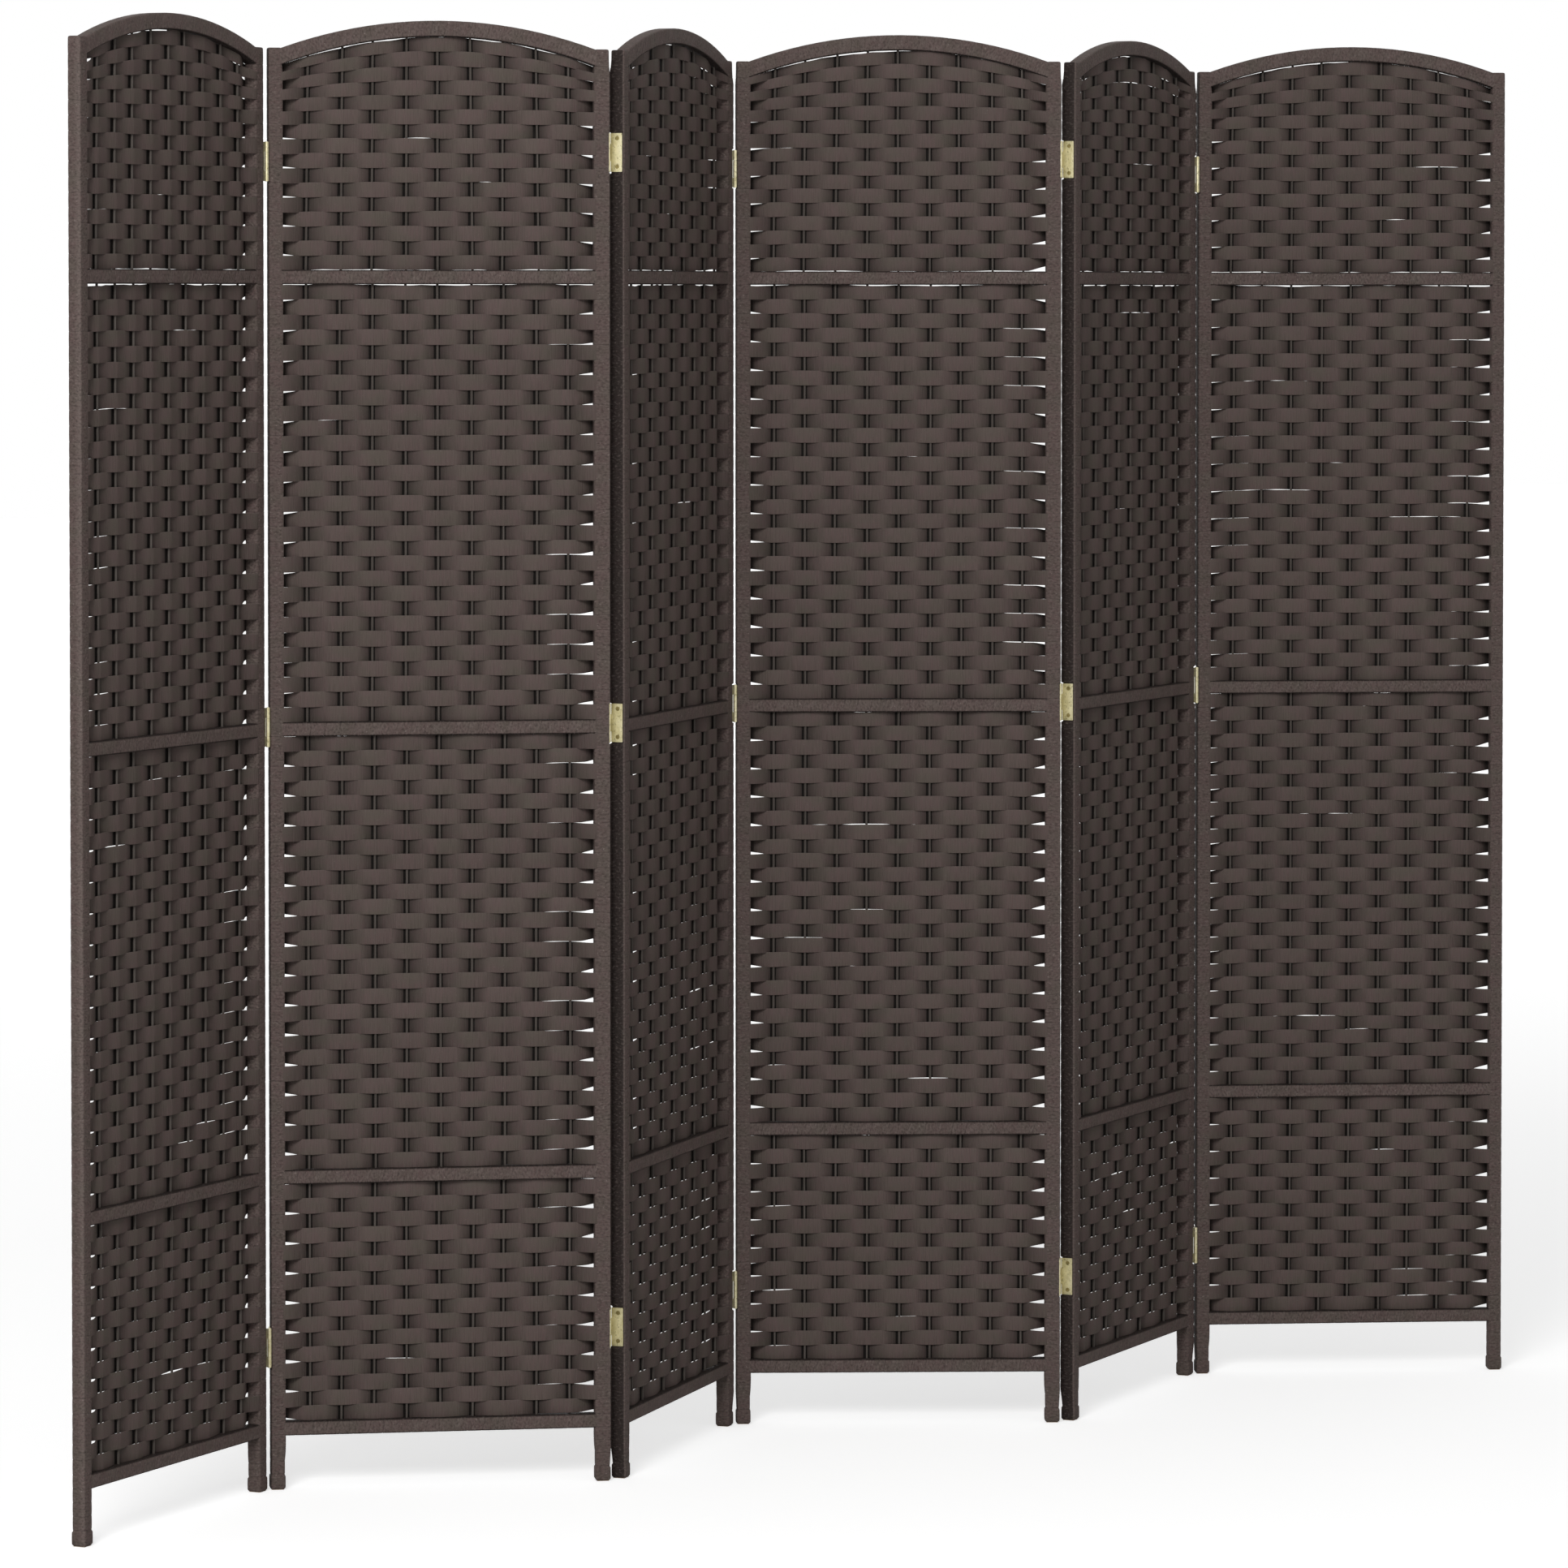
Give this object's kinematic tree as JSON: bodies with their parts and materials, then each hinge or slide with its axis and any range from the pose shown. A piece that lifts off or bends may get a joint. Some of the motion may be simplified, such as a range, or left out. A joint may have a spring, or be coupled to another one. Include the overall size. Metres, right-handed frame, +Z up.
{
  "type": "folding privacy screen",
  "caption": "Free-standing folding privacy screen: arched panels of woven fibre strip in wrapped wooden frames, hinged edge to edge to stand in a zigzag or fold flat together.",
  "frame": {"origin": "on the floor under the middle of the standing screen's box", "axes": "+X along the run of the standing screen, left to right from the front; -Y is the front; +Z up"},
  "size_m": [2.115, 0.2558, 1.7],
  "materials": {
    "post_wood": "bare softwood under the wrap",
    "fibre_wrap": "dark brown crepe fibre tape, matt",
    "fibre_strip": "dark brown ribbed fibre strip, matt",
    "stake_wood": "dark stained rod",
    "hinge_brass": "plain lacquered brass",
    "pin_brass": "plain brass",
    "screw_brass": "plain brass"
  },
  "bodies": {
    "panel_1": {"panel_1_left_post": "post_wood", "panel_1_right_post": "post_wood", "panel_1_rails": "post_wood", "panel_1_frame_wraps": "fibre_wrap", "panel_1_stakes": "stake_wood", "panel_1_weave": "fibre_strip", "panel_1_hinge_screws": "screw_brass", "hinge_1_2_outer_leaves": "hinge_brass", "hinge_1_2_pins": "pin_brass"},
    "panel_2": {"panel_2_left_post": "post_wood", "panel_2_right_post": "post_wood", "panel_2_rails": "post_wood", "panel_2_frame_wraps": "fibre_wrap", "panel_2_stakes": "stake_wood", "panel_2_weave": "fibre_strip", "panel_2_hinge_screws": "screw_brass", "hinge_1_2_inner_leaves": "hinge_brass", "hinge_2_3_outer_leaves": "hinge_brass", "hinge_2_3_pins": "pin_brass"},
    "panel_3": {"panel_3_left_post": "post_wood", "panel_3_right_post": "post_wood", "panel_3_rails": "post_wood", "panel_3_frame_wraps": "fibre_wrap", "panel_3_stakes": "stake_wood", "panel_3_weave": "fibre_strip", "panel_3_hinge_screws": "screw_brass", "hinge_2_3_inner_leaves": "hinge_brass", "hinge_3_4_outer_leaves": "hinge_brass", "hinge_3_4_pins": "pin_brass"},
    "panel_4": {"panel_4_left_post": "post_wood", "panel_4_right_post": "post_wood", "panel_4_rails": "post_wood", "panel_4_frame_wraps": "fibre_wrap", "panel_4_stakes": "stake_wood", "panel_4_weave": "fibre_strip", "panel_4_hinge_screws": "screw_brass", "hinge_3_4_inner_leaves": "hinge_brass", "hinge_4_5_outer_leaves": "hinge_brass", "hinge_4_5_pins": "pin_brass"},
    "panel_5": {"panel_5_left_post": "post_wood", "panel_5_right_post": "post_wood", "panel_5_rails": "post_wood", "panel_5_frame_wraps": "fibre_wrap", "panel_5_stakes": "stake_wood", "panel_5_weave": "fibre_strip", "panel_5_hinge_screws": "screw_brass", "hinge_4_5_inner_leaves": "hinge_brass", "hinge_5_6_outer_leaves": "hinge_brass", "hinge_5_6_pins": "pin_brass"},
    "panel_6": {"panel_6_left_post": "post_wood", "panel_6_right_post": "post_wood", "panel_6_rails": "post_wood", "panel_6_frame_wraps": "fibre_wrap", "panel_6_stakes": "stake_wood", "panel_6_weave": "fibre_strip", "panel_6_hinge_screws": "screw_brass", "hinge_5_6_inner_leaves": "hinge_brass"}
  },
  "joints": [
    {"name": "hinge_2_3", "type": "hinge", "parent": "panel_3", "child": "panel_2", "pos_m": [-0.33154, -0.10475, 0.885], "axis": [0, 0, -1], "range_deg": [-63, 117]},
    {"name": "hinge_1_2", "type": "hinge", "parent": "panel_2", "child": "panel_1", "pos_m": [-0.69686, 0.05714, 0.885], "axis": [0, 0, 1], "range_deg": [-55, 125]},
    {"name": "hinge_3_4", "type": "hinge", "parent": "panel_3", "child": "panel_4", "pos_m": [0.00395, 0.1123, 0.885], "axis": [0, 0, -1], "range_deg": [-70, 110]},
    {"name": "hinge_4_5", "type": "hinge", "parent": "panel_4", "child": "panel_5", "pos_m": [0.34681, -0.09291, 0.885], "axis": [0, 0, 1], "range_deg": [-63, 117]},
    {"name": "hinge_5_6", "type": "hinge", "parent": "panel_5", "child": "panel_6", "pos_m": [0.70626, 0.08163, 0.885], "axis": [0, 0, -1], "range_deg": [-60, 120]}
  ]
}
